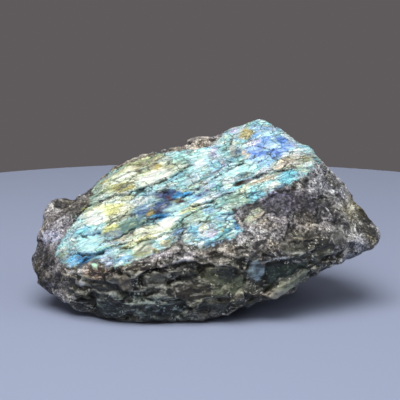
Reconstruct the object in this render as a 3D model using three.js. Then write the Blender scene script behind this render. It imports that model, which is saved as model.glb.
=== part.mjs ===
// Rough labradorite chunk: one piece of broken feldspar rock, about 121 mm long, 69 mm deep and 61 mm high.
// Millimetres, +Z up, +X to the right along the chunk, +Y to its back. The origin is on the surface that the
// chunk rests on, below the middle of its bounding box.
//
// The chunk is a block that broke along flat planes. It is built as the block's corners, joined by flat
// faces, then worn: the faces are divided into small triangles, the edges are rounded, hollows are sunk where
// flakes came away, and cleavage ridges and a rough break texture are raised on what is left.

import * as THREE from "three";
import { ConvexGeometry } from "three/addons/geometries/ConvexGeometry.js";
import { ImprovedNoise } from "three/addons/math/ImprovedNoise.js";
import { mergeVertices } from "three/addons/utils/BufferGeometryUtils.js";

// Driving dimensions, in millimetres.
const TRIANGLE_EDGE = 5; // longest edge once the flat faces are divided
const FOOT_DEPTH = 1.2; // how far the lowest corners reach below the flat that the chunk rests on
const WEAR_ROUNDS = 3; // rounds of smoothing that take the edges off
const WEAR_SHARE = 0.5; // how far each round moves a point towards its neighbours' middle
const WEAR_RETURN = 0.52; // how far it then moves back, which keeps the chunk's size

// The corners of the block, as [x, y, z].
const CORNERS = {
  // The top edge, from the low horn at the left end, up to the apex and down to the nose at the right.
  horn: [-56.5, -3, 33.5],
  hornBack: [-51.5, 3, 34.5],
  crestLow: [-31.5, 11, 44],
  crestMiddle: [-22, 14, 48.5],
  crestHigh: [-6, 16, 51.5],
  apexLeft: [10, 16, 58],
  apex: [19, 16, 61.5],
  apexRight: [23.5, 14, 59.5],
  shoulderHigh: [31, 9, 55],
  shoulder: [39, 2, 50],
  shoulderLow: [43.5, -1, 44],
  noseBridge: [51.5, -3, 36.5],
  noseTop: [57, -5, 29],
  nose: [61.5, -10, 24],

  // The left end, from the horn down to the heel.
  leftEdge: [-59, -7, 23],
  heel: [-61, -13, 12],
  heelLow: [-59, -16, 8.5],

  // The brow: the front edge of the broad face, with the steep front below it.
  browLeft: [-47, -26, 16],
  browLow: [-35, -31, 17],
  browMiddle: [-23, -33, 18.5],
  browHigh: [0, -31, 23.5],
  browRight: [12, -30, 27],

  // The ridge between the broad face and the coarse right side, and the corners of that side.
  temple: [19, -18, 38],
  templeRight: [32, -10, 44],
  cheek: [28, -29, 24.5],
  jaw: [47, -22.5, 25],

  // The bulge of the steep front.
  bellyLeft: [-46, -25, 8.5],
  belly: [-18, -34, 9],

  // The lower front edge: it rests on the ground as far as footRight, then rises to the chin.
  underLeft: [-52, -20, 5],
  footLeft: [-41, -26, 1.6],
  footMiddle: [-27, -30, -FOOT_DEPTH],
  footRight: [-5, -30, -FOOT_DEPTH],
  underMiddle: [10, -31, 6.5],
  underRight: [26, -30, 10],
  throat: [41, -25, 17],
  chin: [50.5, -20, 19.5],
  noseLow: [58, -13, 22.5],

  // The back: a shoulder below the crest, a bulge, and the back of the foot.
  backHorn: [-44, 18, 30],
  backLeft: [-50, 16, 17],
  backLeftLow: [-42, 23, 5],
  backCrest: [-19, 27, 42],
  backBulge: [-10, 35, 19],
  backShoulder: [9, 29, 49],
  backBulgeRight: [26, 32, 26],
  backShoulderRight: [33, 20, 43],
  backRight: [50, 12, 29],
  backRightLow: [42, 14, 17],
  backFootLeft: [-32, 25, -FOOT_DEPTH],
  backFootMiddle: [2, 29, -FOOT_DEPTH],
  backFootRight: [25, 18, -FOOT_DEPTH],
};

// Hollows where flakes came away: the middle of each, its reach along x, y and z, and its depth.
const HOLLOWS = [
  { middle: [-45, 5, 38], reach: [10, 13, 7], depth: 2.4 }, // the saddle between the horn and the crest
  { middle: [-12, -36, 14], reach: [26, 9, 5], depth: 1.2 }, // under the brow
  { middle: [14, -31, 15], reach: [13, 9, 6], depth: 1.1 }, // under the cheek
  { middle: [33, -28, 13], reach: [9, 9, 5], depth: 1.3 }, // the throat, under the coarse right side
  { middle: [-11, 16, 50], reach: [6, 8, 4], depth: 1.3 }, // two nicks in the crest
  { middle: [3, 17, 56], reach: [7, 9, 4], depth: 1.1 },
  { middle: [28, 13, 58], reach: [4, 7, 3], depth: 0.8 }, // a nick beside the apex
  { middle: [56, -4, 33], reach: [7, 9, 8], depth: 0.8 }, // the bridge of the nose
  { middle: [-12, 36, 30], reach: [20, 12, 12], depth: 3 }, // broad flake scars on the back
  { middle: [34, 28, 34], reach: [14, 12, 10], depth: 2.2 },
  { middle: [24, 6, 3], reach: [24, 26, 9], depth: 1.6 }, // the arched underside at the right
];

// Cleavage: the stone splits along lines that climb to the right, a little away from the front.
const CLEAVAGE_ALONG = new THREE.Vector3(0.86, 0.2, 0.46).normalize();
const CLEAVAGE_ACROSS = new THREE.Vector3(-0.34, 0.79, 0.5).normalize();
const RIDGE_SPACING = 9;
const RIDGE_HEIGHT = 0.45;
const RIDGE_LENGTH = 34; // how far along the cleavage a ridge keeps its height
const RIDGE_RISE = 0.8; // share of the spacing that a ridge rises over, before it drops over the rest
const RIDGE_WANDER = 1.4; // how far a ridge strays from its straight line, in spacings
const RIDGE_LAYER = 4.7; // the layer of the noise that the ridges stray by

// The rough break: bumps of three sizes, as [size, height].
const BUMPS = [
  [21, 0.8],
  [9, 0.6],
  [4.5, 0.4],
];
const BUMP_SHIFT = 11.3; // how far apart in the noise the three sizes are taken

const SAME_POINT = 1e-4; // corners of the flat faces closer than this are one point

const noise = new ImprovedNoise();

function cornerPoints() {
  return Object.values(CORNERS).map((corner) => new THREE.Vector3(...corner));
}

// The block with flat faces, as points and triples of point numbers.
function flatFacedBlock() {
  const hull = new ConvexGeometry(cornerPoints());
  hull.deleteAttribute("normal");
  const merged = mergeVertices(hull, SAME_POINT);
  const position = merged.getAttribute("position");
  const points = [];
  for (let i = 0; i < position.count; i += 1) {
    points.push(new THREE.Vector3().fromBufferAttribute(position, i));
  }
  const triangles = [];
  for (let i = 0; i < merged.index.count; i += 3) {
    triangles.push([0, 1, 2].map((k) => merged.index.getX(i + k)));
  }
  return { points, triangles };
}

// Halves every edge longer than the limit, again and again. Both triangles at an edge share its middle point,
// so the surface stays closed.
function divide({ points, triangles }, longest) {
  let current = triangles;
  for (;;) {
    const middles = new Map();
    const middleOf = (a, b) => {
      if (points[a].distanceTo(points[b]) <= longest) return -1;
      const key = a < b ? `${a},${b}` : `${b},${a}`;
      if (!middles.has(key)) {
        middles.set(key, points.length);
        points.push(points[a].clone().lerp(points[b], 0.5));
      }
      return middles.get(key);
    };
    const next = current.flatMap((triangle) => splitTriangle(triangle, middleOf, points));
    if (next.length === current.length) return { points, triangles: current };
    current = next;
  }
}

// One triangle cut at the middles of its long edges, into one to four triangles.
function splitTriangle([a, b, c], middleOf, points) {
  const [ab, bc, ca] = [middleOf(a, b), middleOf(b, c), middleOf(c, a)];
  const cuts = [ab, bc, ca].filter((m) => m >= 0).length;
  if (cuts === 0) return [[a, b, c]];
  if (cuts === 3) {
    return [[a, ab, ca], [ab, b, bc], [ca, bc, c], [ab, bc, ca]];
  }
  // Turn the triangle until its first edge is cut and, with two cuts, its last edge isn't.
  if (cuts === 1) {
    if (bc >= 0) return splitOnce(b, c, a, bc);
    if (ca >= 0) return splitOnce(c, a, b, ca);
    return splitOnce(a, b, c, ab);
  }
  if (ca < 0) return splitTwice(a, b, c, ab, bc, points);
  if (ab < 0) return splitTwice(b, c, a, bc, ca, points);
  return splitTwice(c, a, b, ca, ab, points);
}

function splitOnce(a, b, c, ab) {
  return [[a, ab, c], [ab, b, c]];
}

// Cut on ab and bc. The four-sided rest is cut along its shorter diagonal.
function splitTwice(a, b, c, ab, bc, points) {
  const corner = [ab, b, bc];
  const alongA = points[a].distanceTo(points[bc]);
  const alongC = points[c].distanceTo(points[ab]);
  return alongA < alongC
    ? [corner, [a, ab, bc], [a, bc, c]]
    : [corner, [a, ab, c], [ab, bc, c]];
}

function neighboursOf({ points, triangles }) {
  const neighbours = points.map(() => new Set());
  for (const [a, b, c] of triangles) {
    neighbours[a].add(b).add(c);
    neighbours[b].add(c).add(a);
    neighbours[c].add(a).add(b);
  }
  return neighbours.map((set) => [...set]);
}

// Moves each point towards the middle of its neighbours, or away from it where the share is negative.
function smooth(points, neighbours, share) {
  const targets = points.map((point, i) => {
    const middle = new THREE.Vector3();
    neighbours[i].forEach((n) => middle.add(points[n]));
    return point.clone().lerp(middle.divideScalar(neighbours[i].length), share);
  });
  targets.forEach((target, i) => points[i].copy(target));
}

function wear(shape) {
  const neighbours = neighboursOf(shape);
  for (let round = 0; round < WEAR_ROUNDS; round += 1) {
    smooth(shape.points, neighbours, WEAR_SHARE);
    smooth(shape.points, neighbours, -WEAR_RETURN);
  }
}

function normalsOf({ points, triangles }) {
  const normals = points.map(() => new THREE.Vector3());
  const face = new THREE.Triangle();
  const normal = new THREE.Vector3();
  for (const triangle of triangles) {
    face.set(...triangle.map((i) => points[i]));
    face.getNormal(normal).multiplyScalar(face.getArea());
    triangle.forEach((i) => normals[i].add(normal));
  }
  return normals.map((n) => n.normalize());
}

// How deep the hollows are at a point. Each has its full depth in its middle, and none past its reach.
function hollowDepth(point) {
  return HOLLOWS.reduce((depth, hollow) => {
    const [dx, dy, dz] = ["x", "y", "z"].map(
      (axis, k) => (point[axis] - hollow.middle[k]) / hollow.reach[k],
    );
    const inside = Math.max(0, 1 - dx * dx - dy * dy - dz * dz);
    return depth + hollow.depth * inside * inside * (3 - 2 * inside);
  }, 0);
}

// Ridges of the cleavage: each rises slowly and drops at a step, like the edge of a split layer.
function ridgeHeight(point) {
  const along = point.dot(CLEAVAGE_ALONG) / RIDGE_LENGTH;
  const wander = noise.noise(along, point.z / RIDGE_LENGTH, RIDGE_LAYER);
  const across = point.dot(CLEAVAGE_ACROSS) / RIDGE_SPACING + RIDGE_WANDER * wander;
  const phase = across - Math.floor(across);
  const rise = phase < RIDGE_RISE ? phase / RIDGE_RISE : (1 - phase) / (1 - RIDGE_RISE);
  return RIDGE_HEIGHT * (2 * rise - 1);
}

function breakHeight(point) {
  return BUMPS.reduce((height, [size, bump], k) => {
    const shift = BUMP_SHIFT * k;
    return height + bump * noise.noise(point.x / size + shift, point.y / size, point.z / size - shift);
  }, 0);
}

function weather(shape) {
  const normals = normalsOf(shape);
  shape.points.forEach((point, i) => {
    const height = breakHeight(point) + ridgeHeight(point) - hollowDepth(point);
    point.addScaledVector(normals[i], height);
  });
}

// The underside that touches the ground is flat.
function flattenFoot({ points }) {
  points.forEach((point) => {
    point.z = Math.max(point.z, 0);
  });
}

function chunkGeometry() {
  const shape = divide(flatFacedBlock(), TRIANGLE_EDGE);
  wear(shape);
  weather(shape);
  flattenFoot(shape);
  const geometry = new THREE.BufferGeometry().setFromPoints(shape.points);
  geometry.setIndex(shape.triangles.flat());
  geometry.computeBoundingBox();
  const middle = geometry.boundingBox.getCenter(new THREE.Vector3());
  geometry.translate(-middle.x, -middle.y, 0);
  geometry.computeVertexNormals();
  return geometry;
}

const labradorite = new THREE.MeshStandardMaterial({
  color: 0x6f7a78,
  roughness: 0.5,
  metalness: 0,
});

const chunk = new THREE.Mesh(chunkGeometry(), labradorite);
chunk.name = "labradorite_chunk";

const part = new THREE.Group();
part.add(chunk);

export default part;
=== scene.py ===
"""A rough chunk of labradorite, hand-sized, broken on every side.

One side broke along a cleavage plane and flashes teal, yellow and blue; the rest is dark granular
feldspar rock. The rock is one solid piece, so the script has a section for the stand it is seen on,
then the chunk's own sections: its blank, its broken relief, its cleavage face and its finish. Sizes in
the chunk's sections are millimetres.
"""

import math

import bmesh
import bpy
import numpy as np
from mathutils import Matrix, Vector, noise


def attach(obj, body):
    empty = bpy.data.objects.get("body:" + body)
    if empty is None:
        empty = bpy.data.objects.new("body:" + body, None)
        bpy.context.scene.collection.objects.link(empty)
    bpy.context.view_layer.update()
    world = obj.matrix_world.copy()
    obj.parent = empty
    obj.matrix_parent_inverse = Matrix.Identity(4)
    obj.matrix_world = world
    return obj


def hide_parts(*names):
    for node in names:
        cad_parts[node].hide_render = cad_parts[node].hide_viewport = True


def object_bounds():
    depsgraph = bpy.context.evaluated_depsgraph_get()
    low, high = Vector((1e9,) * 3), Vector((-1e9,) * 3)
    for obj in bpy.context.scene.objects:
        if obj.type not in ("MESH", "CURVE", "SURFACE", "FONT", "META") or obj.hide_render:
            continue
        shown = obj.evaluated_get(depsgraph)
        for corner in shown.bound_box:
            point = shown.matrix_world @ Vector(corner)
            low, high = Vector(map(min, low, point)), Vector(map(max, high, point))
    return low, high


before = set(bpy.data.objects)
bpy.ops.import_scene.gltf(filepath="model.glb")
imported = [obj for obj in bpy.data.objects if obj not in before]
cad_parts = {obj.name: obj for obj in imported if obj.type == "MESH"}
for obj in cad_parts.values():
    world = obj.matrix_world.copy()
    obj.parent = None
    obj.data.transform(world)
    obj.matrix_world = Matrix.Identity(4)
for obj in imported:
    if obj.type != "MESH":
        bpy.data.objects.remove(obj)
cad_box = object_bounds()


# ---- The stand and the light ----------------------------
# A round table top painted a pale blue-grey, under soft studio light: one broad soft box overhead, a
# little in front, two weak ones that fill from the side and the front, and a dim grey surround. A long
# lens looks a little down on the chunk.

TABLE_RADIUS = 0.27
TABLE_CENTRE = (0.0, -0.045, 0.0)
TABLE_COLOUR = (0.300, 0.346, 0.478, 1)
TABLE_ROUGHNESS = 0.7
SURROUND_COLOUR = (0.115, 0.104, 0.108, 1)
CAMERA_PLACE = (-0.002, -0.340, 0.1191)
CAMERA_TILT = math.radians(76)
CAMERA_LENS = 90
CAMERA_SENSOR = 36

camera = bpy.data.objects.new("camera", bpy.data.cameras.new("camera"))
camera.data.lens = CAMERA_LENS
camera.data.sensor_width = CAMERA_SENSOR
camera.location = CAMERA_PLACE
camera.rotation_euler = (CAMERA_TILT, 0, 0)
bpy.context.scene.collection.objects.link(camera)
bpy.context.scene.camera = camera
bpy.context.scene.view_settings.view_transform = "Standard"

table_mesh = bpy.data.meshes.new("table")
table_shape = bmesh.new()
bmesh.ops.create_circle(table_shape, cap_ends=True, segments=128, radius=TABLE_RADIUS)
bmesh.ops.translate(table_shape, verts=table_shape.verts, vec=TABLE_CENTRE)
table_shape.to_mesh(table_mesh)
table_shape.free()
table = bpy.data.objects.new("table", table_mesh)
bpy.context.scene.collection.objects.link(table)
table_paint = bpy.data.materials.new("table paint")
table_paint.use_nodes = True
paint_shader = table_paint.node_tree.nodes["Principled BSDF"]
paint_shader.inputs["Base Color"].default_value = TABLE_COLOUR
paint_shader.inputs["Roughness"].default_value = TABLE_ROUGHNESS
table_mesh.materials.append(table_paint)


def soft_box(name, place, size, power, colour):
    """A square lamp at place, turned to face the middle of the table."""
    light = bpy.data.objects.new(name, bpy.data.lights.new(name, "AREA"))
    light.data.size = size
    light.data.energy = power
    light.data.color = colour
    light.location = place
    towards = -light.location
    light.rotation_euler = towards.to_track_quat("-Z", "Y").to_euler()
    bpy.context.scene.collection.objects.link(light)


soft_box("overhead soft box", (-0.07, -0.17, 0.60), 0.50, 4.8, (1.0, 0.995, 0.985))
soft_box("side soft box", (0.50, -0.10, 0.40), 0.35, 0.6, (0.95, 0.97, 1.0))
soft_box("front soft box", (-0.35, -0.60, 0.32), 0.35, 0.35, (1.0, 0.98, 0.96))

surround = bpy.data.worlds.new("surround")
surround.use_nodes = True
surround.node_tree.nodes["Background"].inputs["Color"].default_value = SURROUND_COLOUR
bpy.context.scene.world = surround


# ---- The chunk: its blank ----------------------------
# The chunk before its fine breakage, one solid lump of feldspar rock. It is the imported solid, merged
# and given an even skin of small faces, which is smoothed so that only its true edges are left, and is
# twice as fine on the cleavage face and the front.

SKIN = 0.82  # face size on the rock
SMOOTHING = 4  # rounds
FINE_MARGIN = 1.5  # how far the finer skin goes past the edge of the cleavage face
FACE_ORIGIN = np.array([0.0, -8.0, 40.0])
FACE_ALONG = np.array([0.9367, 0.0919, 0.3378])  # the way the cleavage runs
FACE_ACROSS = np.array([-0.2630, 0.8216, 0.5058])
FACE_OUT = np.array([-0.2311, -0.5627, 0.7937])
# The edge of the cleavage face, along and across it.
FACE_OUTLINE = [
    (-56, -5), (-52, -1), (-48, 3.5), (-44, 7.5), (-40.5, 9.5), (-38.5, 14.5), (-37, 19), (-30, 23),
    (-18, 25), (-8, 24), (-3, 21), (4, 19.5), (10, 21), (13, 25), (22, 31), (30, 27), (33, 20),
    (38, 12), (42, 6), (42, 0), (38.5, -2.5), (33, -7.5), (27, -9.5), (21.5, -10.5), (16, -13),
    (6.5, -13.5), (6, -18.5), (7.5, -22), (4.5, -25), (-7, -25), (-11.5, -22.5), (-14.5, -18.5),
    (-17.5, -19.5), (-23.5, -21), (-34, -22), (-39, -20.5), (-41.5, -16.5), (-44, -15), (-48, -15.5),
    (-52, -13.5), (-55, -9),
]
LENS = (11.6, -18, 6, 3.2, 38)  # a spot of flash on its own in the rock, an oval


def on_face(points):
    """How far along, across and out of the cleavage face each point lies."""
    return (points - FACE_ORIGIN) @ np.stack([FACE_ALONG, FACE_ACROSS, FACE_OUT], 1)


def inside(places, outline):
    """How far inside a closed outline each place lies, less than nothing outside it."""
    corners = np.array(outline, float)
    nearest = np.full(len(places), np.inf)
    within = np.zeros(len(places), bool)
    for a, b in zip(corners, np.roll(corners, -1, axis=0)):
        side = b - a
        share = ((places - a) @ side / (side @ side)).clip(0, 1)
        nearest = np.minimum(nearest, np.linalg.norm(places - a - share[:, None] * side, axis=1))
        if a[1] != b[1]:
            crossing = a[0] + (places[:, 1] - a[1]) / side[1] * side[0]
            between = (a[1] > places[:, 1]) != (b[1] > places[:, 1])
            within ^= between & (places[:, 0] < crossing)
    return np.where(within, nearest, -nearest)


def from_middle(places, middle_u, middle_v, half_length, half_width, turn):
    """How far out in a turned oval each place lies: 0 in its middle, 1 at its rim."""
    c, s = math.cos(math.radians(turn)), math.sin(math.radians(turn))
    off = places - (middle_u, middle_v)
    return np.hypot((off @ (c, s)) / half_length, (off @ (-s, c)) / half_width)


def oval(places, *shape):
    """1 in the middle of a turned oval, 0 at its rim and outside it."""
    return (1 - from_middle(places, *shape)).clip(0, 1)


def crack(places, route):
    """How far each place is from the route, with a sign: more than nothing above it."""
    near = np.full(len(places), np.inf)
    side_of = np.zeros(len(places))
    for a, b in zip(np.array(route[:-1], float), np.array(route[1:], float)):
        run = b - a
        share = ((places - a) @ run / (run @ run)).clip(0, 1)
        off = places - a - share[:, None] * run
        distance = np.linalg.norm(off, axis=1)
        closer = distance < near
        near = np.where(closer, distance, near)
        side_of = np.where(closer, np.sign(run[0] * off[:, 1] - run[1] * off[:, 0]), side_of)
    return near * side_of


def points_of(mesh, name="co"):
    """The mesh's points in millimetres, or their unit normals."""
    found = np.empty(len(mesh.vertices) * 3, np.float32)
    mesh.vertices.foreach_get(name, found)
    return found.reshape(-1, 3).astype(float) * (1000 if name == "co" else 1)


chunk_mesh = bpy.data.meshes.new("chunk")
chunk_shape = bmesh.new()
chunk_shape.from_mesh(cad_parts["labradorite_chunk"].data)
bmesh.ops.remove_doubles(chunk_shape, verts=chunk_shape.verts, dist=1e-6)
chunk_shape.to_mesh(chunk_mesh)
chunk_shape.free()
chunk = bpy.data.objects.new("chunk", chunk_mesh)
bpy.context.scene.collection.objects.link(chunk)
skin = chunk.modifiers.new("skin", "REMESH")
skin.mode = "VOXEL"
skin.voxel_size = SKIN / 1000
bpy.context.view_layer.update()
with_skin = chunk.evaluated_get(bpy.context.evaluated_depsgraph_get())
chunk_mesh = bpy.data.meshes.new_from_object(with_skin)
chunk.modifiers.remove(skin)
chunk.data = chunk_mesh

chunk_shape = bmesh.new()
chunk_shape.from_mesh(chunk_mesh)
all_ways = {"use_axis_x": True, "use_axis_y": True, "use_axis_z": True}
for _ in range(SMOOTHING):
    bmesh.ops.smooth_vert(chunk_shape, verts=chunk_shape.verts, factor=0.5, **all_ways)
chunk_shape.normal_update()
middles = np.array([f.calc_center_median()[:] for f in chunk_shape.faces]) * 1000
normals = np.array([f.normal[:] for f in chunk_shape.faces])
fine = (inside(on_face(middles)[:, :2], FACE_OUTLINE) > -FINE_MARGIN) & (normals @ FACE_OUT > 0.35)
fine |= normals[:, 1] < -0.3
chunk_shape.faces.ensure_lookup_table()
fine_edges = {e for i in np.flatnonzero(fine) for e in chunk_shape.faces[i].edges}
bmesh.ops.subdivide_edges(chunk_shape, edges=list(fine_edges), cuts=1, use_grid_fill=True)
chunk_shape.to_mesh(chunk_mesh)
chunk_shape.free()
chunk_mesh.update()

points = points_of(chunk_mesh)
count = len(points)
out = points_of(chunk_mesh, "normal")
face = on_face(points)
along_across = face[:, :2]
depth_in = inside(along_across, FACE_OUTLINE)
lens = oval(along_across, *LENS)
depth_in = np.where(lens > 0, np.maximum(depth_in, 4 * lens - 0.5), depth_in)
# 1 on the cleavage face, 0 on the rock, and between them along its edge.
flash = ((depth_in + 1.0) / 2.0).clip(0, 1) * (((out @ FACE_OUT) - 0.15) / 0.3).clip(0, 1)


# ---- The chunk: its broken relief ----------------------------
# The rock broke between and through its feldspar grains. It has hollows and flats several millimetres
# wide, each broken into smaller facets, and on its lower front it chipped like glass, in flat flakes
# and ledges with sharp edges. Each facet is raised and tilted its own way.

# The size of the rock's facets, how far they stand in or out, and how much they tilt.
FACETS = ((8.0, 0.35, 0.14), (3.6, 0.16, 0.18), (2.2, 0.08, 0.15))
# The same for the flakes of the lower front, which lie flat, like torn sheets.
CHIPS = (((10, 9, 5), 0.8, 0.42), ((4.8, 4, 2.2), 0.32, 0.36), ((2.6, 2.2, 1.4), 0.08, 0.20))
NOSE = (59, -13, 24)
HORN = (-50, -9, 34)
HORN_PIT = (-50, -3.5, 34.5)
OVERHANG = (43, -20, 14)
OVERHANG_HALF = (16, 14, 8)
# Ledges across the front, where a sheet broke off: how far it stands out above the route, or less than
# nothing below it, and its route in x and z.
LEDGES = [
    (2.0, [(-26, 15.5), (-21, 17.5), (-15, 20.2), (-8, 21.8), (2, 20.3), (10, 19.5)]),
    (-1.6, [(-40, 13.5), (-34, 12.6), (-28, 13.2), (-22, 12.6)]),
    (-1.6, [(-1.5, 11), (4.5, 12.5), (9.5, 15.5), (11.5, 19.5)]),
    (1.6, [(9, 20), (13, 17), (13, 13.5), (9.5, 10)]),
    (-1.8, [(19, 10), (23, 12.6), (29, 15.8), (35, 18)]),
    (1.4, [(18, 20.5), (25, 21.4), (33, 23), (38, 25)]),
    (-1.2, [(-16, 13.6), (-9, 14.8), (-3, 14.2), (2, 15.6)]),
    (-1.2, [(-24, 8), (-16, 8.8), (-8, 7.8), (-2, 8.8)]),
    (-1.2, [(-30, 17), (-26, 18.6), (-21, 18)]),
    (-1.0, [(-46, 8), (-40, 6.4), (-35, 6.8)]),
]


def still(points, size, shift=0.0):
    """Soft random values between about -1 and 1 at the points, that change over the given size."""
    return np.array([noise.noise(p) for p in (points / size + shift).tolist()])


def wavering(points, size, shifts):
    """A column of soft random values for each of the shifts."""
    return np.stack([still(points, size, shift) for shift in shifts], 1)


def cells(points, size, shift=0.0):
    """Splits space into cells of the given size. Returns, per point, its place in its cell from the
    cell's centre, the centre, how far the point is from the cell's border, and the cell's lot: three
    random numbers."""
    size = np.broadcast_to(size, points.shape[1:]).astype(float)
    at = points / size + shift
    near = np.array([[c[:] for c in noise.voronoi(p)[1][:4]] for p in at.tolist()])
    first, others = near[:, :1], near[:, 1:]
    step = others - first
    halfway = (first + others) / 2 - at[:, None]
    gap = (halfway * step).sum(2) / np.linalg.norm(step / size, axis=2)
    centre = near[:, 0]
    return (at - centre) * size, (centre - shift) * size, gap.min(1), centre - np.floor(centre)


def hump(distance, width):
    """1 at no distance, falling smoothly to 0 at the width."""
    share = (1 - np.abs(distance) / width).clip(0, 1)
    return share * share * (3 - 2 * share)


def far_from(middle, half=(1, 1, 1)):
    """How far each point is from a middle, counted in half sizes."""
    return np.linalg.norm((points - middle) / half, axis=1)


ends = np.empty(len(chunk_mesh.edges) * 2, np.int32)
chunk_mesh.edges.foreach_get("vertices", ends)
ends = ends.reshape(-1, 2)
neighbours = np.bincount(ends.ravel(), minlength=count)


def evened(values, times):
    """The points' values, each made the mean of its neighbours' a number of times."""
    for _ in range(times):
        total = np.zeros_like(values)
        for here, there in (ends.T, ends.T[::-1]):
            for axis in range(values.shape[1]):
                total[:, axis] += np.bincount(here, values[there, axis], minlength=count)
        values = total / neighbours[:, None]
    return values


# The lower front, away from the two ends, is chipped; the rest broke between its grains.
chipped = hump(points[:, 2] - 8, 24) * ((-out[:, 1] - 0.1) / 0.5).clip(0, 1)
chipped *= ((58 - points[:, 0]) / 20).clip(0, 1)
chipped *= ((points[:, 0] + 52) / 16).clip(0, 1)
chipped = (chipped * 1.6 + 0.5 * still(points, 9, 3.1)).clip(0, 1)

rock_relief = 0.4 * still(points, 6, 41)
facet_tone = np.zeros(count)
for size, offset, tilt in FACETS:
    bent = 0.25 * size * wavering(points, size, (0, 7, 13))
    local, _, _, lot = cells(points + bent, size)
    rock_relief += (lot[:, 0] - 0.5) * 2 * offset + ((lot - 0.5) * local).sum(1) * 2 * tilt
    facet_tone += (lot[:, 2] - 0.5) * 0.45

flakes = 0.4 * still(points, (9, 9, 5), 43) - 0.4
flake_tone = np.zeros(count)
for size, offset, tilt in CHIPS:
    bent = 0.35 * (wavering(points, size, (2, 9, 15)) * size)
    local, _, _, lot = cells(points + bent, size, 0.3)
    flakes += (lot[:, 0] - 0.5) * 2 * offset + ((lot - 0.5) * local).sum(1) * 2 * tilt
    flake_tone += (lot[:, 2] - 0.5) * 0.6
rock_relief = rock_relief * (1 - chipped) + flakes * chipped
# What stands out most is worn down, and the back is rougher than the front.
rock_relief = np.where(rock_relief > 0.2, 0.2 + 0.4 * (rock_relief - 0.2), rock_relief)
rock_relief *= 1 + 0.7 * ((out[:, 1] - 0.1) / 0.4).clip(0, 1)

# The nose and the horn are smoother, the horn has a dark pit in its top, and the overhang is hollowed.
rock_relief *= 1 - 0.8 * hump(far_from(NOSE), 14)
rock_relief += 1.2 * hump(far_from(NOSE), 9)
rock_relief *= 1 - 0.7 * hump(far_from(HORN), 10)
rock_relief -= 1.6 * hump(far_from(HORN_PIT), 3.4)
rock_relief -= 1.7 * hump(far_from(OVERHANG, OVERHANG_HALF), 1)

# Each ledge is a step in the rock, with a painted highlight along its edge and painted shadow below it.
front = ((-out[:, 1] - 0.2) / 0.3).clip(0, 1) * (depth_in < -0.5)
ragged_xz = points[:, (0, 2)] + 0.9 * wavering(points, 3, (51, 52))
ledge_highlight_and_shadow = np.zeros(count)
for stands, route in LEDGES:
    distance = crack(ragged_xz, route)
    rock_relief += front * np.where(distance > 0, 0.5, -0.5) * stands * hump(distance, 4)
    ledge_highlight_and_shadow += front * hump(distance - 0.4 * np.sign(stands), 0.7)
    ledge_highlight_and_shadow -= front * hump(distance + 1.0, 1.1) * (stands > 0)
# A pale lip runs along the lower edge of the cleavage face: paler rock, with a painted highlight along
# it.
rim = hump(depth_in + 1.4, 1.7) * (along_across[:, 1] < -9) * (along_across[:, 0] < 9)
ledge_highlight_and_shadow += rim * (0.6 + 0.8 * still(points, 4, 53))

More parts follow.
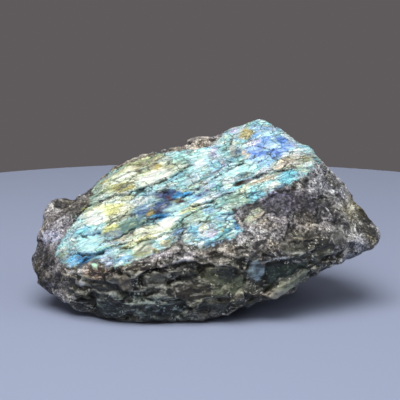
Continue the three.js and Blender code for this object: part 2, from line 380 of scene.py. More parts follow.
# What each part of the rock is like: its middle and half sizes, how much lighter or darker it is, and
# its tint.
WARM = (1.06, 1.0, 0.93)
COOL = (0.96, 1.0, 1.05)
OLIVE_TINT = (1.02, 1.02, 0.84)
VIOLET = (0.92, 0.93, 1.12)
ROCK_ZONES = [
    # the crest, left and middle
    ((-29.5, 9, 43), (15, 6, 6), 0.22, (1.08, 1.03, 0.80)),
    ((-3, 10.5, 52), (12, 6, 5), 0.45, (1.08, 1.0, 0.90)),
    # the left end, with the horn and its pit
    ((-52, -9, 26), (7, 12, 9), 0.30, (1.02, 0.98, 1.01)),
    ((-52, -12, 24), (5, 6, 3), 0.15, (0.92, 0.96, 1.2)),
    ((-52, -5, 35), (4, 5, 2.5), 0.05, OLIVE_TINT),
    ((-50, -3.5, 34.5), (2.4, 2.4, 2.4), -0.7, WARM),
    ((-50, -22, 13), (12, 12, 9), 0.06, WARM),
    ((-35.5, -29, 17), (5, 5, 2.6), -0.02, (1.40, 0.98, 0.82)),
    # the band under the foot of the cleavage face: a pale lip, and below it a darker band, browner rock
    # with painted shade under the lip
    ((-36, -27, 22), (9, 5, 2.0), 0.26, (1.0, 1.0, 1.0)),
    ((-14, -31, 23.5), (16, 6, 1.6), 0.16, (1.02, 0.97, 1.04)),
    ((-14, -31, 20), (18, 6, 1.8), -0.42, (1.08, 0.97, 0.94)),
    ((9, -31, 24), (12, 6, 2), 0.04, (1.07, 1.0, 0.90)),
    ((9, -29, 21), (12, 6, 2), -0.16, (1.06, 0.98, 0.92)),
    # the dark slab on the right, and the brow below it
    ((28, -17, 38), (11, 8, 3.8), -0.46, (1.10, 1.05, 1.65)),
    ((22, -21, 34), (10, 6, 3), -0.12, VIOLET),
    ((33, -22, 32), (17, 8, 3), 0.24, WARM),
    ((29, -27, 27), (14, 6, 3.4), -0.22, (1.07, 1.0, 0.86)),
    # the right end and the nose
    ((48, -18, 28), (7, 10, 7), 0.20, COOL),
    ((55, -15, 27), (2.2, 6, 3.4), -0.30, OLIVE_TINT),
    ((43, -5, 42), (8, 8, 7), 0.36, COOL),
    ((52, -8, 33), (6, 8, 4), 0.16, OLIVE_TINT),
    # the overhang and the lower front
    ((29, -28, 22), (16, 5, 2), -0.16, COOL),
    ((17, -29, 17), (4, 5, 4.0), 0.34, (0.90, 1.0, 1.12)),
    ((27, -30, 17), (9, 6, 2.5), -0.50, (0.9, 1.02, 0.92)),
    ((30, -29, 13.0), (9, 6, 1.8), 0.34, OLIVE_TINT),
    ((-24, -33, 6), (22, 6, 5), -0.16, (0.82, 1.0, 1.08)),
    ((4, -31, 12), (12, 6, 8), -0.02, OLIVE_TINT),
    ((20, -28, 9), (14, 6, 2.4), -0.18, (1.15, 0.97, 0.90)),
    # the back
    ((-30, 20, 25), (12, 14, 6), 0.30, (1.06, 1.0, 0.90)),
    ((15, 25, 18), (16, 12, 8), -0.28, (0.86, 1.0, 1.10)),
    ((30, 20, 32), (12, 14, 5), 0.25, (1.0, 1.0, 1.02)),
    ((-8, 24, 34), (16, 12, 5), -0.20, OLIVE_TINT),
]
# Where the rock is clear and dark, like bottle glass: middle and half sizes.
CLEAR_SPOTS = [
    ((-33, -30, 13), (6, 5, 1.8)), ((24, -30, 19), (7, 6, 2.0)), ((46, -17, 35), (3, 5, 1.6)),
    ((7, -31, 17), (3.4, 5, 2.6)), ((35, -26, 26), (5, 5, 1.6)),
]

clear = chipped.copy()
# How light the rock is: its own tone, which differs at random from facet to facet and zone to zone, with
# the ledges' painted highlights and shadows and the painted shade under the brow.
rock_tone_and_painted_light = 0.7 * ledge_highlight_and_shadow + facet_tone
rock_tone_and_painted_light = rock_tone_and_painted_light + 0.30 * still(points, 11, 31) + 0.25 * still(points, (7, 7, 3), 32)
rock_tint = np.ones((count, 3))
for middle, half in CLEAR_SPOTS:
    length = far_from(middle, half) + 0.35 * still(points, 2.5, 35)
    within = ((1.1 - length) / 0.2).clip(0, 1)
    clear = np.maximum(clear, within)
    flake_tone -= 0.5 * within
    rock_tone_and_painted_light -= 0.4 * within
    rock_tone_and_painted_light += 0.4 * hump(length - 1.2, 0.28)
zone_edge = 0.5 * still(points, 5, 33)
for middle, half, lighter, tint in ROCK_ZONES:
    length = far_from(middle, half)
    reach = hump(length - 0.5 + zone_edge, 0.9)
    reach = np.where(length < 0.5, np.maximum(reach, 0.9), reach)
    rock_tone_and_painted_light += lighter * reach
    rock_tint += reach[:, None] * (np.array(tint) - rock_tint)

# Single broken flakes of the front: colour, how far each stands out, then its outline in x and z.
FLAKES = [
    (0x3F4338, 0.6, [
        (-1, 19), (4, 19.6), (9.5, 19.6), (12.7, 16.7), (12.4, 12.7), (8.8, 9.6), (2.3, 9.6),
        (-1, 11.8),
    ]),
    (0x4E5548, 0.4, [(3.5, 16.6), (8, 17.4), (12, 16.8), (12.2, 13), (9, 10), (4, 10), (1.4, 12.4)]),
    (0x63695C, 0.5, [(-3.5, 12.4), (1, 14), (6, 13), (7.6, 10.6), (3, 9), (-2, 10)]),
    (0x7E8E94, 0.3, [
        (13, 18.6), (14.6, 20.2), (16.4, 22.4), (18, 20.2), (20.4, 19.2), (18.6, 16), (17, 13.4),
        (15.3, 15), (13.8, 15.4),
    ]),
    (0x20302A, -0.7, [(19.6, 19.4), (28, 20.2), (35, 20.6), (32, 17.6), (25.7, 15), (20, 13.2)]),
    (0x7F867C, 0.7, [(20.2, 9.4), (25, 13.8), (32, 17.4), (34.6, 17.4), (29, 12), (22.4, 8.4)]),
    (0x232624, -0.6, [(-39, 13.4), (-34, 14.6), (-28.5, 14.2), (-28, 11.8), (-33, 10.6), (-38, 11)]),
    (0x7A7262, 0.5, [(-29.5, 16.4), (-26, 17.4), (-23.5, 14.5), (-25, 11), (-27.6, 11.5)]),
    (0x2C2825, -0.4, [(-11, 13.5), (-4, 15), (1.2, 14), (1.8, 10), (-5, 8.5), (-10, 9.5)]),
    (0x1D2624, 0.2, [(-36, 7.6), (-33, 8.2), (-30, 6.6), (-29, 4), (-33, 3.4)]),
    (0x9AA4B0, 0.3, [(-43.5, 13), (-41, 14.4), (-39.6, 12.6), (-41.5, 11.2)]),
    (0x8FC2B2, 0.4, [(-37.4, 19.4), (-36.2, 20.6), (-35, 19.6), (-35.4, 18.4), (-36.8, 18.2)]),
    (0x6C7A69, 0.3, [(-41.4, 15.6), (-39, 16.4), (-38, 14.6), (-40.6, 14.2)]),
    (0x54564F, 0.4, [(-21, 16), (-15, 18), (-12, 16), (-14, 13), (-20, 13.5)]),
    (0x202428, -0.3, [(-3, 8), (3, 8.6), (7, 7), (5, 3.6), (-2, 4)]),
    (0x7E7F75, 0.4, [(-20, 10.6), (-14, 12), (-12.4, 10.6), (-17, 9)]),
    (0x2A2E27, -0.3, [(24, 26.5), (30, 28), (34, 26), (31, 23.6), (25, 23.8)]),
    (0x3E403C, 0.3, [(40.6, 29), (43.6, 30.2), (46, 28.4), (45.4, 25.6), (42.6, 24.6)]),
]


def shade(code):
    """The linear colour of a hexadecimal code, as on a paint chart."""
    parts = [(code >> shift & 255) / 255 for shift in (16, 8, 0)]
    return np.array([c / 12.92 if c <= 0.04045 else ((c + 0.055) / 1.055) ** 2.4 for c in parts])


def painted(colours, reach, tint):
    """The colours with the tint laid over them where it reaches."""
    return colours + reach[:, None] * (tint - colours)


front_xz = points[:, (0, 2)] + 0.5 * wavering(points, 1.8, (55, 56))
flake_depth = np.full(count, -4.0)
flake_colours = np.zeros((count, 3))
for code, stands, outline in FLAKES:
    depth = inside(front_xz, outline)
    within = front * ((depth + 0.3) / 0.6).clip(0, 1)
    flake_colours = painted(flake_colours, ((depth + 0.8) / 0.5).clip(0, 1), shade(code))
    flake_depth = np.where(depth > -0.6, depth, np.maximum(flake_depth, depth))
    rock_relief = rock_relief * (1 - 0.6 * within) + stands * within
flake_depth = np.where(front > 0.3, flake_depth, -4)


# ---- The chunk: its cleavage face ----------------------------
# The feldspar split here along one set of planes, so the face is a stack of long thin plates, each a
# little higher or more tilted than the next, with dark open cleavage cracks between them and a few
# pits; the cracks are painted darker still with the shadow at each step. Thin layers inside the
# feldspar give the plates their colours.

# Each open crack: how deep, how wide, how far the plate below it is sunk, then its route along and
# across the face.
CRACKS = {
    "upper": (0.8, 0.55, 0.5, [
        (-45, 6), (-40, 8.9), (-35, 8.5), (-29.5, 9.4), (-25.5, 8.2), (-21.5, 8.9), (-17, 9.5),
        (-8.5, 10.1), (-4.5, 11.4), (-1, 12),
    ]),
    "upper branch": (0.6, 0.5, 0.3, [(-27, 8.6), (-23, 7), (-19.5, 5.7), (-15.4, 5), (-12.5, 3.5)]),
    "yellow edge": (0.6, 0.5, 0.4, [
        (-44, -3.6), (-38.6, -3.6), (-35, -1.9), (-30.5, -1.1), (-27.5, 0.6),
    ]),
    "lens edge": (0.6, 0.45, 0.3, [
        (-36.5, -9), (-29.6, -7.6), (-25, -7.1), (-21.5, -5.8), (-17.9, -6.1), (-14.6, -7.3),
        (-8.2, -6.7), (-3, -6.9), (0.5, -6.7), (3.3, -5.7), (9, -5),
    ]),
    "lower left": (0.8, 0.5, 0.4, [
        (-47, -10.2), (-43.2, -12), (-40, -12.5), (-37, -11.8), (-33, -11), (-29.5, -11.5), (-27, -12),
    ]),
    "lower": (0.7, 0.5, 0.4, [
        (-33.6, -13), (-30.5, -14.3), (-25.7, -13.9), (-20.5, -14.6), (-17, -13.6), (-13.9, -12.4),
        (-9.8, -9.8), (-5, -9), (2, -8),
    ]),
    "middle": (0.6, 0.45, 0.35, [
        (-8.5, -0.8), (-5, 0.3), (-1.7, 1.3), (1.4, 2.6), (5.2, 3.6), (9.1, 4.7), (12.9, 5.9),
        (15.5, 6.2),
    ]),
    "blue cell top": (0.4, 0.4, 0.2, [
        (19.8, 12.2), (22.5, 11.7), (24.8, 10.3), (26.8, 8.1), (29.8, 10),
    ]),
    "blue cell foot": (0.4, 0.4, 0.2, [(20, 4.6), (22.9, 5.4), (25.6, 6.8), (26.8, 8.1)]),
    "brick foot": (0.5, 0.45, 0.3, [(24.8, -2.3), (27.5, -2.6), (29.8, -3)]),
    "brick joint": (0.4, 0.35, 0.1, [(30, -2.5), (31.8, 0.3), (33.7, 1.8), (36, 2.8)]),
    "teal joint": (0.5, 0.4, 0.0, [(-46.5, -3.4), (-47.7, -5), (-48, -7.5), (-47, -9.8)]),
    "left edge": (0.5, 0.4, 0.2, [(-51, 0.7), (-49, 2.2), (-46.4, 4.4), (-43.6, 6.6)]),
    "foot groove": (0.9, 0.7, 0.2, [
        (0.6, -12.8), (5.2, -14.4), (9.1, -14.7), (12.9, -13.7), (15.5, -13.2),
    ]),
    "eye brow": (0.4, 0.4, 0.2, [(-10.5, -16.5), (-8.6, -15), (-5.2, -14.6), (-2.3, -15)]),
    "foot branch": (0.6, 0.45, 0.2, [(-15.5, -19.5), (-13.5, -17.4), (-12, -15.5), (-9, -12.5)]),
}
# Each pit: its middle along and across the face, half its length and width, its turn in degrees and
# its depth.
PITS = {
    "brown pit": (11.5, -2.4, 3.2, 1.2, 4, 1.0),
    "brown groove": (18, -2.1, 5.5, 0.8, 3, 0.8),
    "rust pit": (-11.5, -0.6, 2.6, 1.1, -35, 0.5),
    "dark spot": (15, 12, 1.6, 1.4, 0, 0.5),
    "tan disc rim": (17.7, 10, 1.6, 2.4, 0, -0.25),
    "eye": (-3.8, -18.8, 4.6, 3.6, -15, 0.5),
    "eye ball": (-3.6, -18.8, 2.4, 2.0, -15, -0.6),
    "green lens": (-26.5, -5, 7, 3, 12, 0.5),
    "olive lens": (-25.5, -17.8, 4, 2.6, 25, 0.4),
    "blue corner": (-47, -13, 6, 2.6, -10, 0.6),
    "horn pit": (-48, 13, 1.8, 1.6, 0, 0.8),
}
# Where the face is smooth and unbroken: ovals, as for the pits.
CALM = [
    (-37.5, 3.6, 6, 4.6, 0), (-15, 13, 7.5, 3.2, 4), (-17, -9.6, 6, 2.6, 8), (-42.5, -7, 6, 4, 5),
    (-26.5, -17.5, 5.5, 3.6, 20), (2, 13, 4.5, 5, 0), (14, 4, 9, 2.6, 8), (-29.5, -5.2, 7.5, 3, 10),
    (22.5, 9.5, 3, 4, 0), (28, 11, 5, 2.2, 10), (-24, 18, 6, 2.4, 0), (-12, -3.8, 3.6, 2, 5),
    (31, 7.6, 5, 1.8, 8),
]
# The plates, in three sizes, one on another: size, how far they stand in or out, how much they tilt,
# how deep and wide the seams between them are, and how far they share in the flash's places.
PLATES = (
    ((13, 3.6, 4), 0.24, 0.16, 0.30, 0.30, 0.2),
    ((5.0, 1.7, 2), 0.11, 0.16, 0.22, 0.28, 0.4),
    ((2.2, 1.1, 1), 0.05, 0.14, 0.12, 0.24, 0.4),
)
WIDEST_PLATE = 13

flat = np.column_stack([along_across, np.zeros(count)])  # the points, laid flat on the face


def in_plane(size, shifts):
    """Soft random shifts along and across the face."""
    return np.pad(wavering(flat, size, shifts), ((0, 0), (0, 1)))


wander = in_plane(7, (2, 5))
jitter = in_plane(1.6, (3, 6))
fret = in_plane(0.7, (3, 6))
crack_places = (flat + 0.6 * wander + 0.4 * jitter + 0.2 * fret)[:, :2]
paint_places = (flat + 0.9 * wander + 0.5 * jitter)[:, :2]
calm = np.zeros(count)
for shape in CALM:
    calm = np.maximum(calm, (1.8 * oval(paint_places, *shape)).clip(0, 0.85))

face_relief = 0.5 * still(flat, (14, 7, 1)) + 0.12 * still(flat, (3, 1.2, 1), 4)
seam_and_step_shadow = np.zeros(count)
plate_places = np.zeros((count, 2))
plate_lot = []
for size, offset, tilt, groove, width, share in PLATES:
    local, plate, gap, lot = cells(flat + 1.1 * wander + 0.35 * jitter, size, 0.5)
    face_relief += (lot[:, 0] - 0.5) * 2 * offset + local[:, 1] * (lot[:, 1] - 0.4) * 2 * tilt
    open_here = (0.55 + 1.3 * still(flat, 5, size[0])).clip(0, 1)
    line = hump(gap, width) * open_here * (1 - calm * (size[0] < WIDEST_PLATE))
    face_relief -= groove * line
    seam_and_step_shadow = np.maximum(seam_and_step_shadow, line * (0.5 + groove))
    plate_places += plate[:, :2] * share
    plate_lot.append(lot)
for deep, wide, sunk, route in CRACKS.values():
    distance = crack(crack_places, route)
    open_here = (0.75 + 0.9 * still(flat, 3.5, deep + len(route))).clip(0.15, 1)
    line = hump(distance, wide * (0.35 + 0.45 * open_here)) * (0.3 + 0.7 * open_here)
    face_relief += np.where(distance > 0, 0.4, -0.6) * sunk * hump(distance, 5.0)
    face_relief -= deep * line
    seam_and_step_shadow = np.maximum(seam_and_step_shadow, line)
for *shape, deep in PITS.values():
    face_relief -= deep * hump(1 - oval(crack_places, *shape), 1)

TEAL, AQUA, ICE, GLOW = shade(0xA5D7D4), shade(0x7ECADA), shade(0xCBEFEE), shade(0xFFFEEC)
CREAM, LEMON, GOLD, OLIVE = shade(0xF4F1C8), shade(0xE4DF8C), shade(0xBBA655), shade(0x95936A)
SKY, AZURE, BLUE, NAVY = shade(0xA6D0F2), shade(0x459AD0), shade(0x6A98EA), shade(0x2F4673)
LILAC, SAND, MOSS, PINE = shade(0xC2BCDA), shade(0xCDBBA0), shade(0xA5C2A6), shade(0x5A7870)
RUST, BROWN, SLATE, PEARL = shade(0x46222E), shade(0x443222), shade(0x587889), shade(0xEAEFEE)
LOZENGE, LOZENGE_LINE = shade(0xBCD6F6), shade(0x3C62B0)
BRIGHTEST = 0.97

# The colours of the flash, which the stone shows as a reflection at some angles only, painted here as
# fixed colour: ovals, as for the pits, each with its colour and how much of it there is.
FLASH = [
    # the wide fields
    (-22, 14.5, 18, 6.5, 0, CREAM, 0.85), (-38, 14, 6, 5, 0, MOSS, 0.7),
    (-28, 22, 8, 2.6, 0, MOSS, 0.6), (-17, 22, 8, 4, 0, LEMON, 0.8), (-34, 3.5, 10, 5.5, -6, CREAM, 1),
    (-9, 7, 9, 3.5, 3, TEAL, 0.9), (-19, -2.2, 9.5, 4.4, 4, SLATE, 1),
    (-30, -5.2, 9, 3.2, 10, PINE, 0.95), (-23, -11, 10, 3.4, 4, CREAM, 0.9),
    (-14, -16.5, 5, 3.6, 40, OLIVE, 0.6), (-6, -12.5, 7.5, 3.6, 6, MOSS, 0.8),
    (8, -9, 8, 4.6, 4, MOSS, 0.7), (9, 14, 7, 6, 0, LILAC, 0.35), (27, 9.5, 10, 6.5, 12, SKY, 0.9),
    (26.5, 9.4, 10, 5.4, 12, BLUE, 0.9), (31, 0.6, 9.5, 3.8, 20, SAND, 0.9),
    (13, 3.4, 11, 2.6, 8, ICE, 0.9), (2, 12, 5, 5.5, 0, ICE, 0.9),
    # the teal left end
    (-43, -7, 6.5, 4, 5, ICE, 0.9), (-50, -3, 3.5, 2, 20, ICE, 0.5), (-47, 3.5, 4.5, 3, 30, ICE, 0.8),
    (-44, -1.2, 3, 1.5, 0, AQUA, 0.8), (-41, -3.3, 4, 0.9, 0, AZURE, 0.5),
    (-46, -3, 1.5, 0.7, 0, RUST, 0.5), (-47, -12, 6, 2.6, -8, AZURE, 1),
    (-45.5, -14.8, 6, 1.3, -5, NAVY, 0.9), (-40, -12.6, 4, 0.9, -5, NAVY, 0.6),
    # the cream and yellow fields
    (-38, 3.5, 4.5, 3.6, 0, GLOW, 1), (-31.5, 4.5, 4, 3, -20, LEMON, 0.8),
    (-32, 2, 2.5, 1.2, -10, LEMON, 1), (-39.4, -1, 3, 1.3, 10, ICE, 1),
    (-34.8, -3.4, 3.6, 1.9, 15, LEMON, 0.9), (-31.5, -1, 4.5, 0.8, 3, OLIVE, 0.8),
    (-26.5, 7, 3.2, 1.5, -14, GOLD, 0.6), (-22.6, 3.8, 3.2, 2.2, 0, PEARL, 0.9),
    (-31, 13.5, 3, 2.6, 0, LEMON, 0.4), (-26, 11.6, 4.6, 2.3, -14, GOLD, 0.9),
    (-26, 12.6, 2.4, 1, -14, OLIVE, 0.8), (-16.5, 18.3, 5, 2.4, 0, GOLD, 0.6),
    (-13.4, 16.8, 2, 1.4, 0, GOLD, 0.8), (-15, 12.8, 6.5, 2.8, 5, GLOW, 1),
    (-21, 11, 2, 1.4, 0, GLOW, 0.7), (-8.4, 15.8, 2.4, 3.6, 0, OLIVE, 0.5),
    (-32.5, 17.8, 2.2, 1, 0, GOLD, 0.8), (-30, 19.5, 2.6, 1, 0, LILAC, 0.6),
    (-25, 16.8, 4.5, 1.2, 0, GLOW, 0.6), (-40.3, 9.9, 1.3, 1.5, 0, GOLD, 1),
    (-41.6, 8, 2, 0.9, 10, LEMON, 0.9), (-38, 7.6, 4, 0.8, 10, OLIVE, 0.6),
    (-18, 23, 1.4, 4, 0, GOLD, 0.6), (-17, 20.6, 6, 1.6, 0, OLIVE, 0.7),
    (-27, 19, 5, 1.2, 0, OLIVE, 0.5), (-9, 19.4, 3, 1.6, 0, OLIVE, 0.6),
    # the dark lens and the navy streak
    (-26, -6.2, 5.5, 1.8, 8, PINE, 0.7), (-23, -2.6, 3.4, 3, 10, SLATE, 0.7),
    (-23, 0, 3.4, 1, 10, SKY, 0.6), (-19, -1.2, 7, 1.7, 5, NAVY, 0.85),
    (-16, -3, 5.2, 2.8, -5, NAVY, 1), (-17.8, -6.2, 4, 1.6, -8, AZURE, 1),
    (-19.7, -2.9, 1.6, 1.7, 0, GOLD, 0.7), (-17, -3, 1.3, 1.4, 0, RUST, 0.8),
    (-13, 2.6, 5.2, 2.8, -24, NAVY, 1), (-18.5, 4.8, 2, 1.8, 0, PINE, 0.5),
    (-12.4, 0.6, 2, 0.9, -35, RUST, 1), (-10, -1.5, 2.2, 0.7, -25, RUST, 1),
    (-8, 0.5, 4, 1.5, -5, AZURE, 1), (-12, -3.8, 3.4, 1.8, 5, ICE, 1),
    (-19, 8.4, 4.5, 1.3, 3, AQUA, 0.5), (-12, 6.2, 4, 1.2, 0, PEARL, 0.6),
    (-3, 7, 3.4, 2, 0, PEARL, 0.6), (-8, 9.6, 4, 0.7, 5, AZURE, 0.5),
    # the lower plates
    (-17, -9.6, 5, 2.1, 8, GLOW, 1), (-31.5, -9, 5, 1.2, 5, SAND, 0.9),
    (-27, -13.4, 7, 1.2, -3, LEMON, 0.7), (-35, -15.5, 4.8, 3, -25, ICE, 0.9),
    (-39.6, -17.5, 3, 2.6, -40, LILAC, 0.7), (-33, -18.6, 4, 1.3, -8, AZURE, 0.6),
    (-26.4, -18, 5, 3.4, 20, OLIVE, 0.9), (-27.5, -15.6, 3, 0.9, 12, CREAM, 0.9),
    (-18.8, -17, 2.2, 1.3, 0, GOLD, 0.7), (-33, -21.4, 2, 0.8, 0, LEMON, 0.7),
    (-22.4, -19.6, 0.9, 1.8, 0, GOLD, 0.9), (-13, -14.8, 2.4, 1, 10, AZURE, 0.8),
    (-13.6, -17.6, 1.6, 0.8, 45, BROWN, 0.7), (-7, -6.9, 5, 1.6, 6, LEMON, 0.7),
    (1, -9, 5, 1.6, 5, TEAL, 0.7), (-1.5, -10.6, 2.6, 2, 0, SKY, 0.9),
    (11.5, -5.6, 2.6, 1.2, 5, CREAM, 0.7), (2.5, -15, 4.5, 2.2, 0, SKY, 0.6),
    (11, -14, 7, 1.1, 3, SLATE, 1), (9.5, -13.4, 2.4, 0.7, 3, AZURE, 0.8),
    (11.6, -18, 6, 3.4, 38, SAND, 1), (11.6, -16.9, 4, 1.3, 38, MOSS, 0.5),
    (12.4, -18.6, 4, 0.9, 38, OLIVE, 0.6),
    # the eye
    (-6.5, -18.5, 5, 4, -30, SKY, 0.9), (-9, -17.6, 1.8, 3, 0, AQUA, 0.9),
    (-4, -18.5, 3.4, 2.8, -15, PEARL, 0.9), (-5.9, -17, 1.6, 1.3, 20, CREAM, 1),
    (-5.2, -15.6, 1.4, 0.5, 20, GOLD, 0.7), (-3.4, -20, 2.2, 1.7, 0, LILAC, 0.9),
    (0.6, -20.6, 0.9, 0.8, 0, GOLD, 0.9), (2, -21.2, 1.6, 1.3, 0, AQUA, 1),
    (5.1, -20, 1.4, 2.3, -15, AZURE, 1), (-3, -23.6, 5, 0.9, -5, NAVY, 0.7),
    (-9.5, -23, 3, 1, 10, PEARL, 0.7), (6.5, -23.4, 3.4, 0.9, 0, NAVY, 0.7),
    # the pale middle
    (1.4, 11.4, 2.2, 1.8, 0, PEARL, 1), (-3.2, 15.4, 2.8, 4, 0, PINE, 0.4),
    (7, 15.5, 1, 4, 0, LILAC, 0.9), (10.5, 15, 2.4, 3.4, 0, TEAL, 0.8),
    (13.5, 14.2, 1.4, 2.2, 0, SAND, 0.6), (7, 8.6, 3, 2, -30, AQUA, 0.6),
    (9, 9.4, 0.8, 2.6, 0, LILAC, 0.9), (11.4, 8.8, 2.2, 2, 0, AQUA, 0.5),
    (5.5, 5.8, 3.4, 1.2, 5, LILAC, 0.5), (-2.8, -2.6, 4, 2.4, 0, SKY, 1),
    (-2.6, -2, 1, 0.8, -20, NAVY, 1), (0.3, -1.2, 0.5, 0.7, 0, NAVY, 1),
    (3.6, -2.4, 3, 2.8, 0, AQUA, 0.5), (-0.5, -5.4, 4.5, 1, 5, PEARL, 0.9),
    (8.6, 0.4, 3, 1.8, 0, PEARL, 0.8), (14.8, 0.4, 3, 1.7, 0, SLATE, 0.9),
    (21, -0.2, 3.4, 1.2, 3, PEARL, 0.9), (12, -2.5, 3.6, 1.2, 3, BROWN, 1),
    (18.5, -2, 5, 0.8, 3, BROWN, 0.8), (18.5, -4.2, 6.5, 1.3, 5, SAND, 0.9),
    (15.6, -9.4, 3.6, 2.7, 10, AQUA, 1), (15, -8, 1.8, 0.6, 0, NAVY, 0.7),
    (27.4, -5.4, 4.6, 3, 12, AQUA, 0.9), (24, -8.8, 2.4, 1.1, 0, NAVY, 0.7),
    (21.4, -10.8, 2.6, 1.2, 0, LILAC, 0.8),
    # the blue corner and the sandy bricks
    (22, 10.4, 2.4, 2.6, 0, BLUE, 0.9), (24.4, 8.6, 1.1, 2.6, 0, SKY, 0.9),
    (27.6, 11.8, 3.6, 1.7, 10, SKY, 1), (31.6, 12.2, 2.2, 1.4, 20, BLUE, 0.7),
    (30.5, 8, 5, 1.6, 8, BLUE, 0.9), (34.6, 8.6, 1.6, 1.6, 0, LILAC, 0.9),
    (22.6, 2.8, 3, 2.6, 10, SKY, 1), (27, 5.4, 3.4, 1.1, 12, BLUE, 0.6),
    (31, 4.6, 3, 1, 15, PEARL, 0.7), (27, 17.4, 4, 3, 0, SKY, 0.8),
    (29.4, 18.5, 1.6, 2, 0, LILAC, 0.6), (22.6, 17, 2.4, 1.7, 15, BLUE, 0.6),
    (24.4, 20.6, 2.4, 1.8, 0, SKY, 0.9), (22, 13.6, 2.6, 1.6, 0, LILAC, 0.9),
    (18, 26, 6, 2.6, 0, ICE, 0.8), (20.6, 19.6, 2.2, 2.6, 0, GOLD, 1),
    (17.6, 14.6, 1.6, 3, 0, OLIVE, 0.7), (18, 10, 1.5, 2.5, 0, SAND, 1),
    (15, 12, 1.8, 1.5, 0, SLATE, 1), (17.5, 24, 1.1, 3, 0, LILAC, 0.9),
    (29, 0, 3.4, 1.7, 10, SAND, 0.8), (36.6, 1.6, 2.2, 1.9, 0, GOLD, 0.5),
    (36, 5.4, 4, 1.2, 20, PEARL, 0.6), (33, -2.2, 3.2, 1.2, 30, OLIVE, 0.4),
    (34.4, 14, 1.6, 4, 25, PEARL, 0.7), (39.4, 0, 1.6, 3, 0, SLATE, 0.6),
    # thin washes over all
    (5, 9, 13, 6.5, 5, PINE, 0.22), (-20, 16, 15, 7, 0, OLIVE, 0.14), (-44, -5, 8, 7, 0, AQUA, 0.18),
]

# Under them the face is teal, with pale and greenish clouds, and some plates of other colours.
some_ice = (0.3 + 1.3 * still(flat, (9, 4, 1), 7)).clip(0, 1)
flash_colours = painted(np.tile(TEAL, (count, 1)), some_ice, ICE)
flash_colours = painted(flash_colours, (1.6 * still(flat, (8, 3, 1), 8)).clip(0, 0.8), MOSS)
for lot in plate_lot[1:]:
    flash_colours = painted(flash_colours, 0.5 * (lot[:, 0] > 0.80), LILAC)
    flash_colours = painted(flash_colours, 0.5 * (lot[:, 0] < 0.18), AQUA)
    flash_colours = painted(flash_colours, 0.4 * (lot[:, 1] > 0.82), CREAM)
for *shape, tint, share in FLASH:
    # A wide oval's edge steps from plate to plate, a narrow one keeps its own outline.
    half_width = shape[3]
    loose = min(0.5, max(0.1, (half_width - 0.6) / 4))
    length = from_middle((1 - loose) * paint_places + loose * plate_places, *shape)
    flash_colours = painted(flash_colours, share * hump((length - 0.6).clip(0, None), 0.6), tint)

# The blue corner is made of small lozenges, paler in their middles, with deep blue lines between them.
_, _, gap, lot = cells(flat + 0.6 * wander, (6.0, 3.6, 4), 0.9)
blue_here = (2.2 * oval(paint_places, 26.5, 9.4, 10.5, 6, 12)).clip(0, 1)
lozenge = (gap / 1.3 * (0.4 + lot[:, 1])).clip(0, 1)
flash_colours = painted(flash_colours, 0.8 * blue_here * lozenge, LOZENGE)
flash_colours = painted(flash_colours, 0.8 * blue_here * hump(gap, 0.4), LOZENGE_LINE)

# Each plate flashes more or less brightly, and the brightest are painted white, as highlights.
glow = 0.62 + 0.18 * plate_lot[0][:, 2] + 0.28 * plate_lot[1][:, 2] + 0.26 * plate_lot[2][:, 2]
glow += 0.30 * still(flat, (4, 1.6, 1), 11) + 0.14 * still(flat, (0.8, 0.8, 1), 12)
glow += 0.7 * calm * (0.98 - glow)
flash_colours = flash_colours * glow.clip(0.35, 1.4)[:, None]
painted_white_highlight = 0.35 * ((glow - 1.08) / 0.3).clip(0, 1) * flash_colours.mean(1)
flash_colours = painted(flash_colours, painted_white_highlight, np.ones(3)).clip(0, BRIGHTEST)
# A few plates of each finer size lean to another colour.
for which, column, tint in ((1, 0, SKY), (2, 0, LEMON), (1, 1, LILAC), (2, 0, MOSS)):
    flash_colours = painted(flash_colours, 0.16 * (plate_lot[which][:, column] > 0.75), tint)

# Both reliefs move the points of the skin, out or in, and none at the foot that it lies on.
relief = evened((rock_relief * (1 - flash) + face_relief * flash)[:, None], 1)[:, 0]
relief = relief * (1 - flash) + face_relief * flash * flash
foot = (points[:, 2] / 2.5).clip(0, 1)
moved = points + out * relief[:, None] * foot[:, None]
low, high = (np.array(corner) * 1000 for corner in cad_box)
moved = moved.clip(low, high)
chunk_mesh.vertices.foreach_set("co", (moved / 1000).astype(np.float32).ravel())
chunk_mesh.polygons.foreach_set("use_smooth", np.ones(len(chunk_mesh.polygons), bool))
chunk_mesh.update()

# How far each point stands out from the surface around it, or lies in a nook or hollow: the finish
# lightens what stands out, as wear, and darkens what lies in, as painted shade.
moved_out = points_of(chunk_mesh, "normal")
wear_and_nook_shade = ((moved - evened(moved, 3)) * moved_out).sum(1)
bulge_wear_and_hollow_shade = ((moved - evened(moved, 16)) * moved_out).sum(1)


def keep(name, values, kind="FLOAT"):
    """Stores one value per point on the chunk, for its finish to read."""
    layer = chunk_mesh.attributes.new(name, kind, "POINT")
    layer.data.foreach_set("value" if kind == "FLOAT" else "vector", np.float32(values).ravel())


keep("face", face, "FLOAT_VECTOR")
keep("flash", np.where(out @ FACE_OUT > 0.2, (depth_in / 4).clip(-1, 1), -1))
keep("flash_colour", flash_colours, "FLOAT_VECTOR")
keep("calm", calm)
keep("seam_and_step_shadow", seam_and_step_shadow)
keep("wear_and_nook_shade", wear_and_nook_shade)
keep("bulge_wear_and_hollow_shade", bulge_wear_and_hollow_shade)
keep("rock_tone_and_painted_light", rock_tone_and_painted_light)
keep("rock_tint", rock_tint, "FLOAT_VECTOR")
keep("clear", clear)
keep("flake_tone", flake_tone)
keep("flake_depth", flake_depth)
keep("flake_colour", flake_colours, "FLOAT_VECTOR")
chunk_mesh.update()


